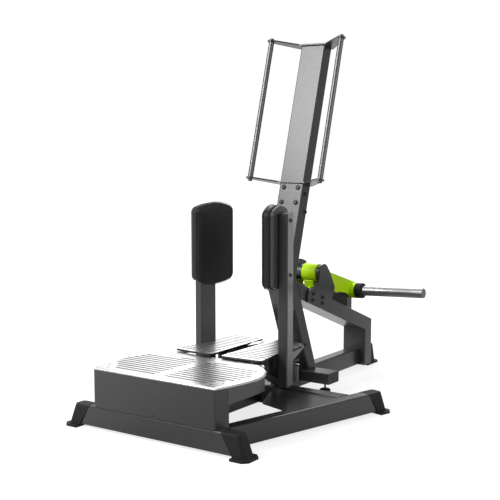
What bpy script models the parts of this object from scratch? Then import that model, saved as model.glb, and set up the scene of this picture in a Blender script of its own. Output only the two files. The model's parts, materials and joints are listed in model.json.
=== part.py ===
"""Standing hip abductor machine, modelled in metres with +Z up.

The user stands on the two foot plates, facing the step, leans back towards the column, holds the
leaning handle rods and presses both padded levers outwards. Each lever turns about a vertical pivot
over the rear cross tube. Two link rods push a bell crank in front of the strut, the bell crank pulls
a draw rod inside the strut, and the draw rod tips the weight arm, so the rear of the arm with its
weight horns rises.

Layout: X is across the machine with 0 on its middle line, Y runs from the front cross tube to the
rear post, and Z is 0 on the floor. The root empty shifts everything so that the origin ends under
the middle of the bounding box.
"""
import math

import bmesh
import bpy
from mathutils import Vector

# General sizes
GAP = 0.0003
WALL = 0.004
SHIFT_Y = -1.0390

# Base rails
RAIL_LOW = 0.012
RAIL_TOP = 0.112
RAIL_WIDTH = 0.070
RAIL_RADIUS = 0.008
RAIL_MID = (RAIL_LOW + RAIL_TOP) / 2
REST_ON_RAIL = RAIL_TOP + GAP
FRONT_TUBE_TOP_X = 0.386
END_SLOPE = 0.62
SIDE_SPLAY = math.radians(14.66)
SIDE_AXIS_X0 = 0.3298
SIDE_TOP_END_Y = 0.954
CROSS_FRONT_Y = 0.820
CROSS_REAR_Y = 0.900
SPINE_REAR_Y = 1.9047
STUB_FRONT_Y = 1.208
STUB_REAR_Y = 1.322
STUB_LOW = 0.052
STUB_END_X = 0.227
FOOT_X = 0.173
FOOT_Y = 1.267
FOOT_RADIUS = 0.030
FOOT_DISC = 0.015
STEM_RADIUS = 0.005
STEM_HOLE = 0.007
STEM_TOP = 0.088
PLATE_LOW = 0.100
PLATE_HIGH = 0.106

# Rubber end caps
CAP_LENGTH_TOP = 0.100
CAP_LENGTH_LOW = 0.1405
CAP_WIDTH_LOW = 0.084
FLANGE_LENGTH = 0.155
FLANGE_RIM = 0.020
CAP_FLANGE_TOP = 0.0117

# Step
STEP_TOP = 0.304
STEP_TREAD = 0.0102
STEP_SHEET = 0.003
STEP_SKIRT_LOW = 0.212
STEP_OUTLINE = [(0.0, 0.0), (0.180, 0.0), (0.358, 0.0), (0.374, 0.050), (0.388, 0.100),
                (0.398, 0.150), (0.406, 0.200), (0.412, 0.255), (0.408, 0.300), (0.392, 0.350),
                (0.362, 0.405), (0.315, 0.452), (0.270, 0.483), (0.230, 0.502), (0.220, 0.504),
                (0.0, 0.504)]
SKIRT_INSET = 0.012
REAR_PLATE_LOW = 0.2975
REAR_PLATE_TOP = 0.3035
KITE_TOP = 0.3197

# Column, strut and sloping tube
FRAME_HALF = 0.075
FRAME_RADIUS = 0.006
STRUT_FRONT_Y = 1.088
STRUT_FRONT_Z = 0.521
STRUT_SLOPE = 0.405
STRUT_DEEP = 0.082
COLUMN_FRONT_Y = 1.159
COLUMN_FRONT_Z = 1.037
COLUMN_SLOPE = 0.2876
COLUMN_DEEP = 0.078
SLOPING_Y = 1.263
SLOPING_Z = 0.564
SLOPING_FALL = 0.381
SLOPING_HEIGHT = 0.081
POST_FRONT_Y = 1.905
POST_REAR_Y = 1.990

# Handles
HANDLE_X = 0.221
HANDLE_RADIUS = 0.0145
HANDLE_NECK = 0.0095
HANDLE_LOW = (1.115, 1.165)
HANDLE_HIGH = (1.3255, 1.9125)
BRACKET_THICK = 0.008

# Weight arm
HUB_Y = 1.395
HUB_Z = 0.632
HUB_RADIUS = 0.049
HUB_LEFT = -0.034
HUB_RIGHT = 0.054
HUB_SHAFT_RADIUS = 0.0125
ARM_HALF = 0.030
BEARING_IN = 0.0755
BEARING_OUT = 0.0855
SHAFT_HALF = 0.0815
HORN_Y = 1.820
HORN_Z = 0.479
HORN_BASE_X = 0.0655
HORN_END_X = 0.496
HORN_TILT = math.radians(2.8)
HORN_RADIUS = 0.0290
COLLAR_RADIUS = 0.045
COLLAR_LENGTH = 0.045

# Levers
PIVOT_X = 0.110
PIVOT_Y = 0.865
HOUSING_RADIUS = 0.0625
HOUSING_TOP = 0.3095
SHAFT_RADIUS = 0.025
BASE_LOW = 0.148
BASE_TOP = 0.190
POST_X = 0.249
POST_Y = 0.7425
POST_TOP = 1.018
POST_LONG = 0.100
POST_SHORT = 0.050
LEVER_TURN = math.radians(15)
BOSS_X = 0.214
BOSS_Y = 0.860
BOSS_RADIUS = 0.035
BOSS_TOP = 0.262
PLATE_UNDER = 0.310
PLATE_OVER = 0.320
PAD_Z = 0.8445
PAD_WIDE = 0.244
PAD_HIGH = 0.430
PAD_BOW = 0.14
PAD_DEEP = 0.0472
BOARD_DEEP = 0.020

# Linkage
CRANK_Y = 1.136
CRANK_Z = 0.170
CRANK_BORE = 0.0103
CRANK_IN = (1.1114, 0.2619)
CRANK_OUT = (1.2599, 0.2032)
LUG = (1.1066, 0.6017)
LINK_Z = 0.240
LINK_REAR_X = 0.050
LINK_REAR_Z = 0.2635
LINK_PIN = 0.006
DRAW_PIN = 0.005

FINISHES = {
    "powder_coat": ((0.030, 0.032, 0.035), 0.0, 0.45),
    "lime_paint": ((0.400, 0.720, 0.010), 0.0, 0.40),
    "polished_plate": ((0.820, 0.830, 0.850), 1.0, 0.25),
    "chrome": ((0.780, 0.790, 0.800), 1.0, 0.10),
    "grip_steel": ((0.180, 0.185, 0.190), 0.9, 0.40),
    "rubber": ((0.012, 0.012, 0.012), 0.0, 0.70),
    "upholstery": ((0.015, 0.015, 0.016), 0.0, 0.50),
    "board": ((0.020, 0.020, 0.020), 0.0, 0.60),
    "bare_steel": ((0.450, 0.450, 0.460), 1.0, 0.35),
}

WORLD = {}


def clear_scene():
    for obj in list(bpy.data.objects):
        bpy.data.objects.remove(obj, do_unlink=True)


def attach(obj, position, parent):
    """Put obj at a layout position under parent, whose axes are the layout's own."""
    bpy.context.scene.collection.objects.link(obj)
    base = Vector((0.0, 0.0, 0.0))
    if parent is not None:
        obj.parent = parent
        base = WORLD[parent.name]
    obj.location = Vector(position) - base
    WORLD[obj.name] = Vector(position)


def pivot(name, position, parent):
    empty = bpy.data.objects.new(name, None)
    attach(empty, position, parent)
    return empty


def paint(name, finish):
    colour, metallic, roughness = FINISHES[finish]
    material = bpy.data.materials.new(name + "_" + finish)
    material.use_nodes = True
    shader = material.node_tree.nodes["Principled BSDF"]
    shader.inputs["Base Color"].default_value = (*colour, 1.0)
    shader.inputs["Metallic"].default_value = metallic
    shader.inputs["Roughness"].default_value = roughness
    material.diffuse_color = (*colour, 1.0)
    return material


def piece(name, points, faces, finish, parent, origin=None, smooth=False):
    """Make one closed mesh object from layout points, with its origin at a layout point."""
    points = [Vector(point) for point in points]
    if origin is None:
        origin = sum(points, Vector((0.0, 0.0, 0.0))) / len(points)
    origin = Vector(origin)
    mesh = bpy.data.meshes.new(name)
    mesh.from_pydata([point - origin for point in points], [], faces)
    shape = bmesh.new()
    shape.from_mesh(mesh)
    bmesh.ops.recalc_face_normals(shape, faces=shape.faces)
    shape.to_mesh(mesh)
    shape.free()
    if smooth:
        mesh.shade_smooth()
        mesh.set_sharp_from_angle(angle=math.radians(35))
    obj = bpy.data.objects.new(name, mesh)
    obj.data.materials.append(paint(name, finish))
    attach(obj, origin, parent)
    return obj


def join_shape(target, other, operation):
    """Union or difference with a helper object that stays hidden from the render."""
    modifier = target.modifiers.new(operation.lower() + "_" + other.name, "BOOLEAN")
    modifier.operation = operation
    modifier.solver = "EXACT"
    modifier.object = other
    other.hide_render = True
    other.display_type = "WIRE"


def add(target, other):
    join_shape(target, other, "UNION")


def cut(target, other):
    join_shape(target, other, "DIFFERENCE")


def rounded_rectangle(width, height, radius, steps=3):
    points = []
    for corner in range(4):
        sign_a = 1 if corner in (0, 3) else -1
        sign_b = 1 if corner in (0, 1) else -1
        for step in range(steps + 1):
            angle = math.pi / 2 * (corner + step / steps)
            points.append((sign_a * (width / 2 - radius) + radius * math.cos(angle),
                           sign_b * (height / 2 - radius) + radius * math.sin(angle)))
    return points


def barrel(width, height, radius, steps=5, across=8, upright=4):
    """Rounded rectangle whose upper and lower edges bow outwards, as the pads' do."""
    corners = rounded_rectangle(width, height, radius, steps)
    points = []
    for corner in range(4):
        block = corners[corner * (steps + 1):(corner + 1) * (steps + 1)]
        target = corners[(corner + 1) % 4 * (steps + 1)]
        count = across if corner in (0, 2) else upright
        points += block
        for step in range(1, count):
            share = step / count
            points.append((block[-1][0] + (target[0] - block[-1][0]) * share,
                           block[-1][1] + (target[1] - block[-1][1]) * share))
    return [(a, b * (1 - PAD_BOW * (2 * a / PAD_WIDE) ** 2)) for a, b in points]


def arc(centre, radius, start_deg, end_deg, steps):
    angles = [math.radians(start_deg + (end_deg - start_deg) * step / steps)
              for step in range(steps + 1)]
    return [(centre[0] + radius * math.cos(angle), centre[1] + radius * math.sin(angle))
            for angle in angles]


def circle(centre, radius, steps=40):
    return arc(centre, radius, 0, 360, steps)[:-1]


def hull(points):
    """Convex outline of flat points, counter-clockwise."""
    ordered = sorted(set((round(a, 6), round(b, 6)) for a, b in points))

    def half(sequence):
        chain = []
        for point in sequence:
            while len(chain) > 1:
                (ax, ay), (bx, by) = chain[-2], chain[-1]
                if (bx - ax) * (point[1] - ay) - (by - ay) * (point[0] - ax) > 1e-9:
                    break
                chain.pop()
            chain.append(point)
        return chain[:-1]

    return half(ordered) + half(ordered[::-1])


def round_corners(corners, radii, steps=5):
    """Replace each corner of a flat outline by an arc of its own radius."""
    points = []
    count = len(corners)
    for index, corner in enumerate(corners):
        here = Vector(corner)
        before = (Vector(corners[index - 1]) - here).normalized()
        after = (Vector(corners[(index + 1) % count]) - here).normalized()
        radius = radii[index]
        if radius <= 0:
            points.append(tuple(here))
            continue
        half_angle = before.angle(after) / 2
        reach = radius / math.tan(half_angle)
        centre = here + (before + after).normalized() * (radius / math.sin(half_angle))
        first = here + before * reach - centre
        last = here + after * reach - centre
        start = math.atan2(first.y, first.x)
        sweep = math.atan2(first.x * last.y - first.y * last.x, first.dot(last))
        for step in range(steps + 1):
            angle = start + sweep * step / steps
            points.append((centre.x + radius * math.cos(angle),
                           centre.y + radius * math.sin(angle)))
    return points


def loft(name, loops, finish, parent, origin=None, smooth=False, ring=False):
    """Skin loops of equal length. With ring the last loop joins the first, else ends are capped."""
    count = len(loops[0])
    points = [point for loop in loops for point in loop]
    faces = []
    spans = len(loops) if ring else len(loops) - 1
    for level in range(spans):
        low = level * count
        high = (level + 1) % len(loops) * count
        for index in range(count):
            other = (index + 1) % count
            faces.append((low + index, low + other, high + other, high + index))
    if not ring:
        faces.append(tuple(range(count)))
        faces.append(tuple(range(len(points) - count, len(points))))
    return piece(name, points, faces, finish, parent, origin, smooth)


def slab(name, outline, low, high, finish, parent, origin=None, smooth=False):
    """Plan outline in X and Y, extruded from low to high in Z."""
    loops = [[(x, y, level) for x, y in outline] for level in (low, high)]
    return loft(name, loops, finish, parent, origin, smooth)


def side_slab(name, outline, low, high, finish, parent, origin=None, smooth=False):
    """Side outline in Y and Z, extruded from low to high in X."""
    loops = [[(level, y, z) for y, z in outline] for level in (low, high)]
    return loft(name, loops, finish, parent, origin, smooth)


def basis(axis):
    axis = Vector(axis).normalized()
    first = axis.orthogonal().normalized()
    return axis, first, axis.cross(first)


def turned_loops(profile, start, axis, steps):
    """Turn a profile of radius and distance about an axis. Radii must stay above 0."""
    axis, first, second = basis(axis)
    start = Vector(start)
    turns = [math.tau * step / steps for step in range(steps)]
    return [[start + axis * along + (first * math.cos(turn) + second * math.sin(turn)) * radius
             for turn in turns] for radius, along in profile]


def turned_solid(name, profile, start, axis, finish, parent, origin=None, steps=40):
    return loft(name, turned_loops(profile, start, axis, steps), finish, parent, origin,
                smooth=True)


def turned_ring(name, profile, start, axis, finish, parent, origin=None, steps=40):
    return loft(name, turned_loops(profile, start, axis, steps), finish, parent, origin,
                smooth=True, ring=True)


def rod(name, start, end, radius, finish, parent, origin=None, steps=32):
    length = (Vector(end) - Vector(start)).length
    return turned_solid(name, [(radius, 0.0), (radius, length)], start,
                        Vector(end) - Vector(start), finish, parent, origin, steps)


def box(name, low, high, finish, parent):
    outline = [(low[0], low[1]), (high[0], low[1]), (high[0], high[1]), (low[0], high[1])]
    return slab(name, outline, low[2], high[2], finish, parent)


def tube(name, start, end, up, width, height, radius, finish, parent,
         start_cut=None, end_cut=None, closed_end=False, origin=None):
    """Rectangular hollow tube whose ends may be cut by planes given as (point, normal)."""
    start = Vector(start)
    end = Vector(end)
    axis = (end - start).normalized()
    tall = Vector(up)
    tall = (tall - axis * tall.dot(axis)).normalized()
    wide = tall.cross(axis)

    def end_loop(centre, plane, section, setback=0.0):
        point, normal = plane if plane else (centre, axis)
        point = Vector(point)
        normal = Vector(normal)
        loop = []
        for a, b in section:
            spot = centre + wide * a + tall * b
            slide = (point - spot).dot(normal) / axis.dot(normal)
            loop.append(spot + axis * (slide - setback))
        return loop

    outer = rounded_rectangle(width, height, radius)
    inner = rounded_rectangle(width - 2 * WALL, height - 2 * WALL, max(radius - WALL, 0.0015))
    loops = [end_loop(start, start_cut, inner), end_loop(start, start_cut, outer),
             end_loop(end, end_cut, outer)]
    if closed_end:
        loops.append(end_loop(end, end_cut, inner, WALL))
        return closed_tube(name, loops, finish, parent, origin)
    loops.append(end_loop(end, end_cut, inner))
    return loft(name, loops, finish, parent, origin, ring=True)


def closed_tube(name, loops, finish, parent, origin):
    """Skin a tube that is open at its start and closed at its end."""
    count = len(loops[0])
    points = [point for loop in loops for point in loop]
    faces = []
    for low, high in ((0, 1), (1, 2), (3, 0)):
        for index in range(count):
            other = (index + 1) % count
            faces.append((low * count + index, low * count + other,
                          high * count + other, high * count + index))
    faces.append(tuple(range(2 * count, 3 * count)))
    faces.append(tuple(range(3 * count, 4 * count)))
    return piece(name, points, faces, finish, parent, origin)


def mirrored(points, side):
    return [(side * a, b) for a, b in points]


def strut_front(z):
    return STRUT_FRONT_Y + STRUT_SLOPE * (STRUT_FRONT_Z - z)


def column_front(z):
    return COLUMN_FRONT_Y + COLUMN_SLOPE * (z - COLUMN_FRONT_Z)


def sloping_top(y):
    return SLOPING_Z - SLOPING_FALL * (y - SLOPING_Y)


def end_cap(name, side, anchor, along, width_top, parent):
    """Rubber foot on a rail end: a chamfered block on a wider flange that stands on the floor."""
    along = Vector(along)
    across = Vector((-along.y, along.x, 0.0)) * side
    anchor = Vector(anchor)

    def level(z, near, far, half, chamfer):
        flat = [(near, -half), (far - chamfer, -half), (far, -half + chamfer),
                (far, half - chamfer), (far - chamfer, half), (near, half)]
        return [anchor + along * a + across * b + Vector((0.0, 0.0, z)) for a, b in flat]

    def body_near(z):
        return (RAIL_TOP - z) * END_SLOPE + 2 * GAP

    slope_end = body_near(RAIL_LOW)
    half_low = CAP_WIDTH_LOW / 2
    loops = [
        level(0.0, slope_end + 0.004, FLANGE_LENGTH, half_low + FLANGE_RIM, 0.024),
        level(CAP_FLANGE_TOP, slope_end + 0.004, FLANGE_LENGTH - 0.002,
              half_low + FLANGE_RIM - 0.001, 0.023),
        level(CAP_FLANGE_TOP, slope_end + 0.005, CAP_LENGTH_LOW, half_low, 0.020),
        level(RAIL_TOP - 0.004, body_near(RAIL_TOP - 0.004), CAP_LENGTH_TOP + 0.001,
              width_top / 2, 0.012),
        level(RAIL_TOP, body_near(RAIL_TOP), CAP_LENGTH_TOP - 0.003, width_top / 2 - 0.003, 0.010),
    ]
    return loft(name, loops, "rubber", parent)


def build_base(root):
    across = Vector((1.0, 0.0, 0.0))
    slant = Vector((1.0, 0.0, END_SLOPE)).normalized()
    tube_mid_x = FRONT_TUBE_TOP_X + (RAIL_TOP - RAIL_MID) * END_SLOPE
    front_y = RAIL_WIDTH / 2
    tube("front_cross_tube", (-tube_mid_x, front_y, RAIL_MID), (tube_mid_x, front_y, RAIL_MID),
         (0, 0, 1), RAIL_WIDTH, RAIL_TOP - RAIL_LOW, RAIL_RADIUS, "powder_coat", root,
         start_cut=((-tube_mid_x, front_y, RAIL_MID), (-slant.x, 0, slant.z)),
         end_cut=((tube_mid_x, front_y, RAIL_MID), slant))

    for side, label in ((-1, "left"), (1, "right")):
        along = Vector((side * math.sin(SIDE_SPLAY), math.cos(SIDE_SPLAY), 0.0))
        fall = math.tan(SIDE_SPLAY)
        start = Vector((side * (SIDE_AXIS_X0 + fall * front_y * 2), front_y * 2, RAIL_MID))
        top_end = Vector((side * (SIDE_AXIS_X0 + fall * SIDE_TOP_END_Y), SIDE_TOP_END_Y, 0.0))
        mid_end = top_end + along * (RAIL_TOP - RAIL_MID) * END_SLOPE
        mid_end.z = RAIL_MID
        tube(label + "_side_tube", start, mid_end, (0, 0, 1), RAIL_WIDTH, RAIL_TOP - RAIL_LOW,
             RAIL_RADIUS, "powder_coat", root,
             start_cut=((0, RAIL_WIDTH + GAP, 0), (0, -1, 0)),
             end_cut=(mid_end, along + Vector((0, 0, END_SLOPE))))
        end_cap("rear_" + label + "_cap", side, top_end, along, RAIL_WIDTH, root)
        end_cap("front_" + label + "_cap", side, (side * FRONT_TUBE_TOP_X, front_y, 0.0),
                across * side, RAIL_WIDTH - 0.002, root)

        inner_x = SIDE_AXIS_X0 - RAIL_WIDTH / 2 / math.cos(SIDE_SPLAY)
        floor_plate = [(0.249, 0.535), (inner_x + fall * 0.480 - 2 * GAP, 0.480),
                       (inner_x + fall * CROSS_FRONT_Y - 2 * GAP, CROSS_FRONT_Y - GAP),
                       (0.140, CROSS_FRONT_Y - GAP), (0.167, 0.728)]
        floor_plate = round_corners(floor_plate, [0.020, 0.0, 0.0, 0.0, 0.0])
        slab(label + "_floor_plate", mirrored(floor_plate, side), PLATE_LOW, PLATE_HIGH,
             "powder_coat", root)

        stub_y = (STUB_FRONT_Y + STUB_REAR_Y) / 2
        stub_z = (STUB_LOW + RAIL_TOP) / 2
        stub = tube(label + "_stub_tube", (side * (RAIL_WIDTH / 2 + GAP), stub_y, stub_z),
                    (side * STUB_END_X, stub_y, stub_z), (0, 0, 1), STUB_REAR_Y - STUB_FRONT_Y,
                    RAIL_TOP - STUB_LOW, 0.005, "powder_coat", root, closed_end=True)
        cut(stub, rod(label + "_foot_hole", (side * FOOT_X, FOOT_Y, STUB_LOW - 0.01),
                      (side * FOOT_X, FOOT_Y, STUB_LOW + 0.02), STEM_HOLE, "bare_steel", root))
        slide = pivot(label + "_foot_slide", (side * FOOT_X, FOOT_Y, 0.0), root)
        turned_solid(label + "_leveling_foot",
                     [(FOOT_RADIUS, 0.0), (FOOT_RADIUS, FOOT_DISC - 0.004),
                      (FOOT_RADIUS - 0.006, FOOT_DISC), (STEM_RADIUS, FOOT_DISC),
                      (STEM_RADIUS, STEM_TOP)],
                     (side * FOOT_X, FOOT_Y, 0.0), (0, 0, 1), "rubber", slide,
                     origin=(side * FOOT_X, FOOT_Y, 0.0))

    inner_x = SIDE_AXIS_X0 - RAIL_WIDTH / 2 / math.cos(SIDE_SPLAY)
    cross_y = (CROSS_FRONT_Y + CROSS_REAR_Y) / 2
    cut_x = inner_x + math.tan(SIDE_SPLAY) * cross_y - 2 * GAP
    face = (math.cos(SIDE_SPLAY), -math.sin(SIDE_SPLAY))
    tube("rear_cross_tube", (-cut_x, cross_y, RAIL_MID), (cut_x, cross_y, RAIL_MID), (0, 0, 1),
         CROSS_REAR_Y - CROSS_FRONT_Y, RAIL_TOP - RAIL_LOW, RAIL_RADIUS, "powder_coat", root,
         start_cut=((-cut_x, cross_y, RAIL_MID), (-face[0], face[1], 0)),
         end_cut=((cut_x, cross_y, RAIL_MID), (face[0], face[1], 0)))
    tube("front_spine_tube", (0, RAIL_WIDTH + GAP, RAIL_MID), (0, CROSS_FRONT_Y - GAP, RAIL_MID),
         (0, 0, 1), RAIL_WIDTH, RAIL_TOP - RAIL_LOW, RAIL_RADIUS, "powder_coat", root)
    tube("rear_spine_tube", (0, CROSS_REAR_Y + GAP, RAIL_MID), (0, SPINE_REAR_Y, RAIL_MID),
         (0, 0, 1), RAIL_WIDTH, RAIL_TOP - RAIL_LOW, RAIL_RADIUS, "powder_coat", root)

    def rear_level(z, front, back, half, chamfer):
        return [(-half, front, z), (half, front, z), (half, back - chamfer, z),
                (half - chamfer, back, z), (-half + chamfer, back, z), (-half, back - chamfer, z)]

    loft("spine_end_cap",
         [rear_level(0.0, 1.957, 2.105, 0.071, 0.020),
          rear_level(CAP_FLANGE_TOP, 1.957, 2.103, 0.070, 0.020),
          rear_level(CAP_FLANGE_TOP, POST_REAR_Y + GAP, 2.068, 0.066, 0.018),
          rear_level(0.121, POST_REAR_Y + GAP, 2.046, 0.060, 0.014),
          rear_level(0.126, POST_REAR_Y + GAP, 2.040, 0.056, 0.012)],
         "rubber", root)


def build_frame(root):
    strut_axis = Vector((0.0, -STRUT_SLOPE, 1.0)).normalized()
    column_axis = Vector((0.0, COLUMN_SLOPE, 1.0)).normalized()
    vertex_z = 0.633
    vertex = Vector((0.0, strut_front(vertex_z), vertex_z))
    rear_z = ((strut_front(0.0) + STRUT_DEEP) - (column_front(0.0) + COLUMN_DEEP)) \
        / (COLUMN_SLOPE + STRUT_SLOPE)
    elbow = Vector((0.0, column_front(rear_z) + COLUMN_DEEP, rear_z))
    mitre = Vector((0.0, -(elbow.z - vertex.z), elbow.y - vertex.y)).normalized()
    lift = mitre * GAP

    strut_thick = STRUT_DEEP * strut_axis.z
    strut_low = Vector((0.0, strut_front(0.2) + STRUT_DEEP / 2, 0.2))
    strut_high = Vector((0.0, strut_front(0.6) + STRUT_DEEP / 2, 0.6))
    strut = tube("lower_strut", strut_low, strut_high, (0, 1, 0), FRAME_HALF * 2, strut_thick,
                 FRAME_RADIUS, "powder_coat", root,
                 start_cut=((0, 0, REST_ON_RAIL), (0, 0, -1)), end_cut=(vertex, mitre))

    handle_axis = Vector((0.0, HANDLE_HIGH[0] - HANDLE_LOW[0],
                          HANDLE_HIGH[1] - HANDLE_LOW[1])).normalized()
    column_thick = COLUMN_DEEP * column_axis.z
    column_low = Vector((0.0, column_front(0.8) + COLUMN_DEEP / 2, 0.8))
    column_high = Vector((0.0, column_front(1.8) + COLUMN_DEEP / 2, 1.8))
    top_point = Vector((0.0, HANDLE_HIGH[0], HANDLE_HIGH[1])) - handle_axis * (BRACKET_THICK / 2)
    column = tube("upper_column", column_low, column_high, (0, 1, 0), FRAME_HALF * 2,
                  column_thick, FRAME_RADIUS, "powder_coat", root,
                  start_cut=(vertex + lift, -mitre),
                  end_cut=(top_point - handle_axis * GAP, handle_axis))

    strut_normal = Vector((0.0, strut_axis.z, -strut_axis.y))
    strut_rear = Vector((0.0, strut_front(0.5) + STRUT_DEEP, 0.5)) + strut_normal * GAP
    slope_axis = Vector((0.0, 1.0, -SLOPING_FALL)).normalized()
    slope_up = Vector((0.0, SLOPING_FALL, 1.0)).normalized()
    slope_mid = Vector((0.0, SLOPING_Y, SLOPING_Z)) - slope_up * (SLOPING_HEIGHT / 2)
    corner_high = Vector((0.0, POST_REAR_Y, sloping_top(POST_REAR_Y)))
    drop = SLOPING_HEIGHT / slope_up.z
    corner_low = Vector((0.0, POST_FRONT_Y, sloping_top(POST_FRONT_Y) - drop))
    seam = corner_high - corner_low
    seam_normal = Vector((0.0, -seam.z, seam.y)).normalized()
    sloping = tube("sloping_tube", slope_mid, slope_mid + slope_axis * 0.6, (0, 0, 1),
                   FRAME_HALF * 2, SLOPING_HEIGHT, FRAME_RADIUS, "powder_coat", root,
                   start_cut=(strut_rear, -strut_normal),
                   end_cut=(corner_low + seam_normal * GAP, -seam_normal))
    post_y = (POST_FRONT_Y + POST_REAR_Y) / 2
    tube("rear_post", (0, post_y, 0.05), (0, post_y, 0.25), (0, 1, 0), FRAME_HALF * 2,
         POST_REAR_Y - POST_FRONT_Y, FRAME_RADIUS, "powder_coat", root,
         start_cut=((0, 0, RAIL_LOW), (0, 0, -1)), end_cut=(corner_low, seam_normal))

    cut(strut, box("rear_wall_slot", (-0.012, 1.105, 0.515), (0.012, 1.185, 0.630),
                   "bare_steel", root))
    cut(strut, box("front_wall_slot", (-0.019, 1.190, 0.116), (0.019, 1.2650, 0.226),
                   "bare_steel", root))
    top_slot = side_slab("top_wall_slot", [(1.105, sloping_top(1.105) + 0.02),
                                           (1.105, sloping_top(1.105) - 0.02),
                                           (1.432, sloping_top(1.432) - 0.02),
                                           (1.432, sloping_top(1.432) + 0.02)],
                         -0.012, 0.012, "bare_steel", root)
    cut(sloping, top_slot)


def rounded_sheet(outline, inset):
    """Move each point of an outline inwards by inset along its corner's bisector."""
    count = len(outline)
    moved = []
    for index in range(count):
        before = Vector(outline[index - 1])
        here = Vector(outline[index])
        after = Vector(outline[(index + 1) % count])
        first = (here - before).normalized()
        second = (after - here).normalized()
        normal_a = Vector((-first.y, first.x))
        normal_b = Vector((-second.y, second.x))
        bisector = (normal_a + normal_b).normalized()
        reach = inset / max(bisector.dot(normal_a), 0.3)
        moved.append(tuple(here + bisector * reach))
    return moved


def full_outline(half):
    left = [(-x, y) for x, y in half[::-1] if x > 0.0]
    return half + left


def build_step(root):
    outline = full_outline(STEP_OUTLINE)
    low = STEP_TOP - STEP_TREAD
    rises = [(0.0, 0.0), (0.0008, 0.0045), (0.0035, 0.0075), (0.0100, 0.0095), (0.0240, STEP_TREAD)]
    loops = []
    for inset, rise in rises:
        full = rounded_sheet(outline, inset)
        gentle = rounded_sheet(outline, inset * 0.3)
        loops.append([(*(full[i] if outline[i][1] < 0.01 else gentle[i]), low + rise)
                      for i in range(len(outline))])
    loft("step_tread_plate", loops, "polished_plate", root, smooth=True)

    wing = [(0.0, 0.0), (0.180, 0.0), (0.350, 0.0), (0.3555, 0.0015), (0.3580, 0.006),
            (0.3773, 0.080)]
    skirt = rounded_sheet(outline, SKIRT_INSET)
    side_panel = [(0.3745, 0.0812), (0.3715, 0.105), (0.3712, 0.254), (0.3680, 0.340),
                  (0.3640, 0.385)]
    half = wing + side_panel + [skirt[i] for i in range(10, len(STEP_OUTLINE) - 1)] \
        + [(0.0, 0.492)]
    path = full_outline(half)
    inner = rounded_sheet(path, STEP_SHEET)
    top = low - GAP
    bottoms = [REST_ON_RAIL if y < 0.0805 else STEP_SKIRT_LOW for _, y in path]
    loops = [[(x, y, top) for x, y in path],
             [(*path[i], bottoms[i]) for i in range(len(path))],
             [(*inner[i], bottoms[i]) for i in range(len(path))],
             [(x, y, top) for x, y in inner]]
    loft("step_shell", loops, "powder_coat", root, ring=True)

    tube("step_support_post", (0, 0.430, REST_ON_RAIL), (0, 0.430, top), (0, 1, 0), 0.060, 0.060,
         0.005, "powder_coat", root)
    right = [(0.3157, 0.4532), (0.225, 0.577), (0.090, 0.778), (0.058, 0.815), (0.046, 0.845),
             (0.046, 0.978)]
    inner_right = [(0.0, 0.835), (0.035, 0.822), (0.060, 0.790), (0.2216, 0.5053),
                   (0.2305, 0.5034), (0.2706, 0.4842)]
    fork = inner_right + right
    fork = fork + [(-x, y) for x, y in fork[:0:-1]]
    rear_plate = slab("rear_tread_plate", fork, REAR_PLATE_LOW, REAR_PLATE_TOP, "polished_plate",
                      root)
    add(rear_plate, box("tread_leg", (-0.020, 0.845, REST_ON_RAIL),
                        (0.020, 0.875, REAR_PLATE_LOW + 0.003), "polished_plate", root))
    kite = [(0.0, 0.772), (0.0212, 0.850), (0.0212, 0.862), (0.0150, 0.880), (0.0, 0.918)]
    kite = kite + [(-x, y) for x, y in kite[-2:0:-1]]
    add(rear_plate, slab("raised_kite", kite, REAR_PLATE_LOW + 0.001, KITE_TOP, "polished_plate",
                         root))


def build_handles(root):
    low = Vector((0.0, *HANDLE_LOW))
    high = Vector((0.0, *HANDLE_HIGH))
    axis = (high - low).normalized()
    ahead = Vector((0.0, -axis.z, axis.y))
    half = BRACKET_THICK / 2

    def column_reach(centre):
        spot = centre + ahead * -0.05
        gap = column_front(spot.z) - spot.y
        return -0.05 - gap / (-ahead.y + COLUMN_SLOPE * ahead.z)

    for label, centre in (("lower", low), ("upper", high)):
        front = column_reach(centre)
        rear = front - COLUMN_DEEP * math.cos(math.atan(COLUMN_SLOPE))
        lip = 0.012
        wide = FRAME_HALF + 0.010
        right = arc((HANDLE_X, 0.0), 0.023, -75, 110, 12)
        outline = [(wide, rear - 0.002)] + right + [(wide, front + lip)]
        outline = outline + [(-x, v) for x, v in outline[::-1]]
        loops = [[centre + axis * level + Vector((x, 0, 0)) + ahead * v for x, v in outline]
                 for level in (-half, half)]
        plate = loft(label + "_handle_bracket", loops, "powder_coat", root)
        for side, name in ((-1, "left"), (1, "right")):
            eye = centre + Vector((side * HANDLE_X, 0, 0))
            cut(plate, rod(label + "_" + name + "_rod_hole", eye - axis * 0.02, eye + axis * 0.02,
                           HANDLE_NECK + GAP, "bare_steel", root))
        if label == "lower":
            hole = rounded_rectangle(FRAME_HALF * 2 + 2 * GAP, front - rear + 2 * GAP,
                                     FRAME_RADIUS)
            middle = (front + rear) / 2
            loops = [[centre + axis * level + Vector((a, 0, 0)) + ahead * (middle + b)
                      for a, b in hole] for level in (-0.02, 0.02)]
            cut(plate, loft("column_hole", loops, "bare_steel", root))

    length = (high - low).length
    profile = [(0.0105, -half - 0.0115), (0.0120, -half - 0.0100), (0.0120, -half - GAP),
               (HANDLE_NECK, -half - GAP), (HANDLE_NECK, half + GAP),
               (HANDLE_RADIUS, half + GAP), (HANDLE_RADIUS, length - half - GAP),
               (HANDLE_NECK, length - half - GAP), (HANDLE_NECK, length + half + GAP),
               (0.0120, length + half + GAP), (0.0120, length + half + 0.0100),
               (0.0105, length + half + 0.0115)]
    for side, name in ((-1, "left"), (1, "right")):
        turned_solid(name + "_handle_rod", profile, low + Vector((side * HANDLE_X, 0, 0)), axis,
                     "grip_steel", root)


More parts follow.
